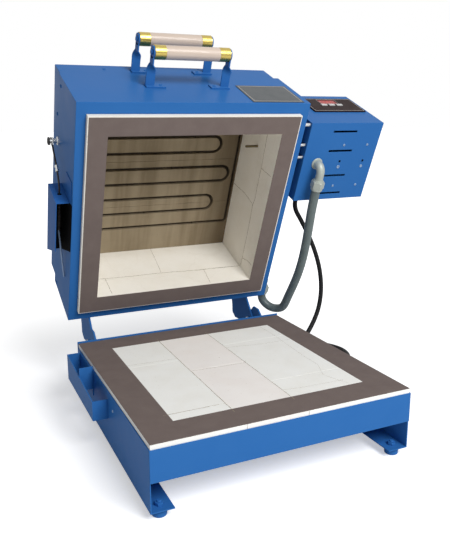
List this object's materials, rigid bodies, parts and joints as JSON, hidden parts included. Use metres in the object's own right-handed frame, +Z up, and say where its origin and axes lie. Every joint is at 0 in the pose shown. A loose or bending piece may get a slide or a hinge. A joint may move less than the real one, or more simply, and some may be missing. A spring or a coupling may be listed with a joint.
{
  "type": "clamshell glass fusing kiln",
  "caption": "Clamshell glass fusing kiln standing open: brick-lined blue steel lid with a roof element, flat brick base, grips, side control box and mains cord.",
  "frame": {"origin": "on the floor under the middle of the base's brick slab, between the levelling feet", "axes": "+Z up, +X to the right seen from the front, +Y to the back, where the hinge is"},
  "size_m": [0.766, 0.7913, 0.8106],
  "materials": {
    "blue_steel": "deep blue enamel, semi-gloss",
    "guard_steel": "deep blue enamel, semi-gloss",
    "fire_brick": "white porous insulating brick",
    "lid_brick": "cream porous insulating brick",
    "rim_cement": "matt brown kiln cement",
    "blanket": "soft white ceramic fibre",
    "element_wire": "oxidised resistance wire",
    "bright_steel": "zinc-plated steel",
    "grip_wood": "pale lacquered hardwood",
    "ferrule_brass": "polished brass",
    "elbow_alloy": "light grey die-cast",
    "conduit_skin": "dark grey-green sheath",
    "black_plastic": "black moulded plastic",
    "cord_rubber": "black flexible cord",
    "plate_dark": "dark printed face",
    "plate_label": "plain printed plate",
    "display_red": "dark red window",
    "button_grey": "light grey key",
    "spring_dark": "dark spring steel"
  },
  "bodies": {
    "base": {"side_skirt_left": "blue_steel", "side_skirt_right": "blue_steel", "front_band": "blue_steel", "rear_band": "blue_steel", "floor_tray": "blue_steel", "base_bricks_left": "fire_brick", "base_bricks_middle": "fire_brick", "base_bricks_right": "fire_brick", "base_rim_coating": "rim_cement", "levelling_feet": "blue_steel", "side_bracket": "blue_steel", "hinge_ear_left": "blue_steel", "hinge_ear_right": "blue_steel", "hinge_pins": "bright_steel", "cord_tube": "cord_rubber", "cord_coil": "cord_rubber", "plug": "cord_rubber"},
    "lid": {"lid_casing": "blue_steel", "roof_cap": "blue_steel", "hinge_arm_left": "blue_steel", "hinge_arm_right": "blue_steel", "handle_straps_front": "blue_steel", "handle_straps_rear": "blue_steel", "handle_rods": "blue_steel", "control_box": "blue_steel", "vent_panel": "blue_steel", "spring_guard": "guard_steel", "front_wall_bricks": "lid_brick", "hinge_wall_bricks": "lid_brick", "left_wall_bricks": "lid_brick", "right_wall_bricks": "lid_brick", "roof_bricks_front": "lid_brick", "roof_bricks_middle": "lid_brick", "roof_bricks_hinge": "lid_brick", "lid_rim_coating": "rim_cement", "roof_blanket": "blanket", "heating_element": "element_wire", "box_standoffs": "bright_steel", "anchor_stud": "bright_steel", "spring_hook": "bright_steel", "pull_rod": "bright_steel", "lid_screws": "bright_steel", "thermocouple": "bright_steel", "handle_grip_front": "grip_wood", "handle_grip_rear": "grip_wood", "handle_ferrules": "ferrule_brass", "box_elbow": "elbow_alloy", "lid_elbow": "elbow_alloy", "conduit": "conduit_skin", "control_relay": "black_plastic", "cord_gland": "black_plastic", "strain_relief": "black_plastic", "controller_plate": "plate_dark", "nameplate": "plate_label", "display_window": "display_red", "lid_spring": "spring_dark"},
    "down_key": {"down_button": "button_grey"},
    "up_key": {"up_button": "button_grey"},
    "start_key": {"start_button": "button_grey"}
  },
  "joints": [
    {"name": "lid_hinge", "type": "hinge", "parent": "base", "child": "lid", "pos_m": [0, 0.3125, 0.1116], "axis": [1, 0, 0], "range_deg": [0, 67.4], "deforming": ["cord_tube"]},
    {"name": "down_press", "type": "slide", "parent": "lid", "child": "down_key", "axis": [0, 0.3843, -0.9232], "range_m": [0, 0.001], "stiffness_N_per_m": 600, "springref_m": -0.001},
    {"name": "up_press", "type": "slide", "parent": "lid", "child": "up_key", "axis": [0, 0.3843, -0.9232], "range_m": [0, 0.001], "stiffness_N_per_m": 600, "springref_m": -0.001},
    {"name": "start_press", "type": "slide", "parent": "lid", "child": "start_key", "axis": [0, 0.3843, -0.9232], "range_m": [0, 0.001], "stiffness_N_per_m": 600, "springref_m": -0.001}
  ]
}
